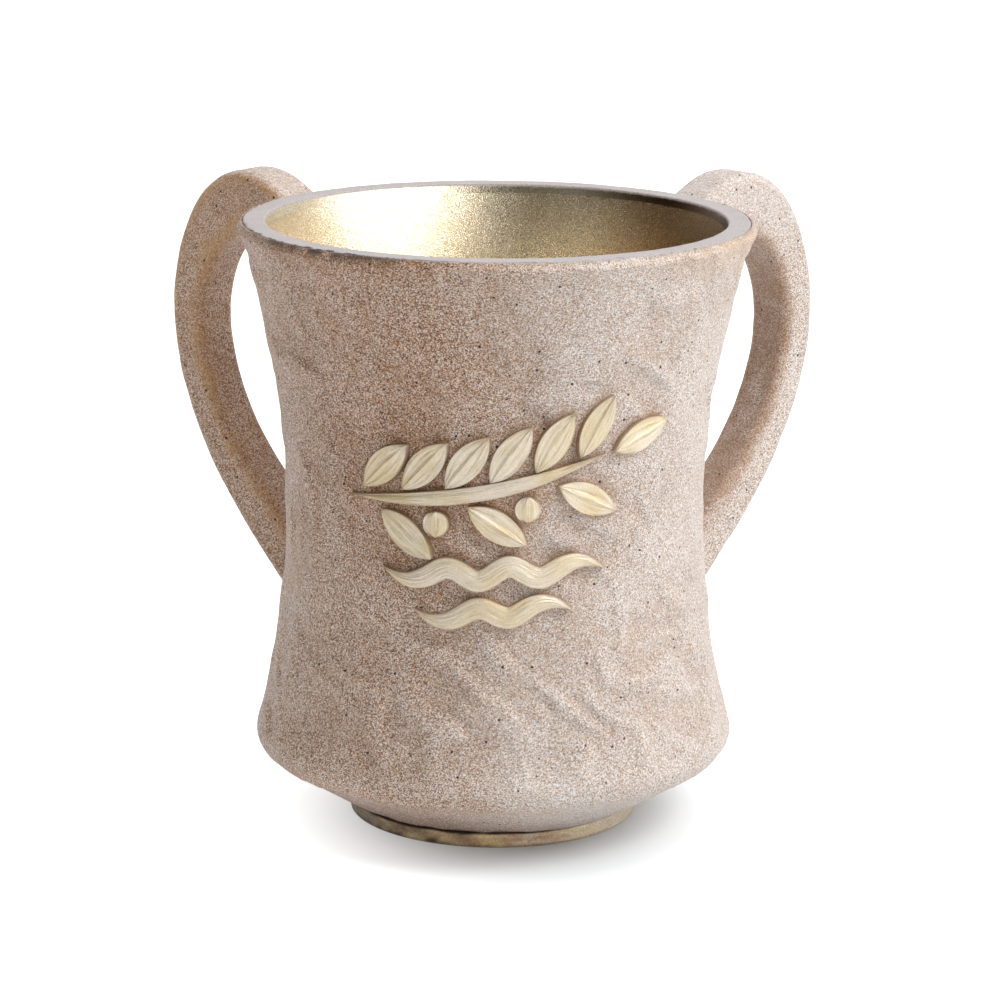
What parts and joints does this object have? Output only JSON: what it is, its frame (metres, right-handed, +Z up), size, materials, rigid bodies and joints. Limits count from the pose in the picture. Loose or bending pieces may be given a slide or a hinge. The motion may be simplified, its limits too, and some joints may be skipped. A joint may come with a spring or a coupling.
{
  "type": "two-handled ritual washing cup",
  "caption": "Waisted stone-effect cup with a gilt bowl, pale rim ring, gilt plinth, two rear-leaning loop handles and a gilt leaf-and-wave relief.",
  "frame": {"origin": "centre of the flat resting face under the plinth, on the cup's axis", "axes": "+Z up along the cup's axis, front with the relief towards -Y, +X to the right as seen from the front"},
  "size_m": [0.1452, 0.1175, 0.1339],
  "materials": {
    "stone_resin": "matt sandstone-effect cast resin with fine pale and brown grain and sparse dark specks",
    "pale_resin": "smooth pale grey-lilac resin",
    "bowl_gilt": "pale gold metallic paint on resin, fine satin grain",
    "antique_gilt": "worn antique-gold metallic paint on resin",
    "relief_gilt": "cream-gold metallic paint on resin, finely brushed"
  },
  "bodies": {
    "root": {"body_shell": "stone_resin", "left_handle": "stone_resin", "right_handle": "stone_resin", "rim_ring": "pale_resin", "bowl_liner": "bowl_gilt", "foot_plinth": "antique_gilt", "relief_stem": "relief_gilt", "relief_leaf_01": "relief_gilt", "relief_leaf_02": "relief_gilt", "relief_leaf_03": "relief_gilt", "relief_leaf_04": "relief_gilt", "relief_leaf_05": "relief_gilt", "relief_leaf_06": "relief_gilt", "relief_leaf_07": "relief_gilt", "relief_leaf_08": "relief_gilt", "relief_leaf_09": "relief_gilt", "relief_leaf_10": "relief_gilt", "relief_olive_01": "relief_gilt", "relief_olive_02": "relief_gilt", "relief_wave_upper": "relief_gilt", "relief_wave_lower": "relief_gilt"}
  },
  "joints": []
}
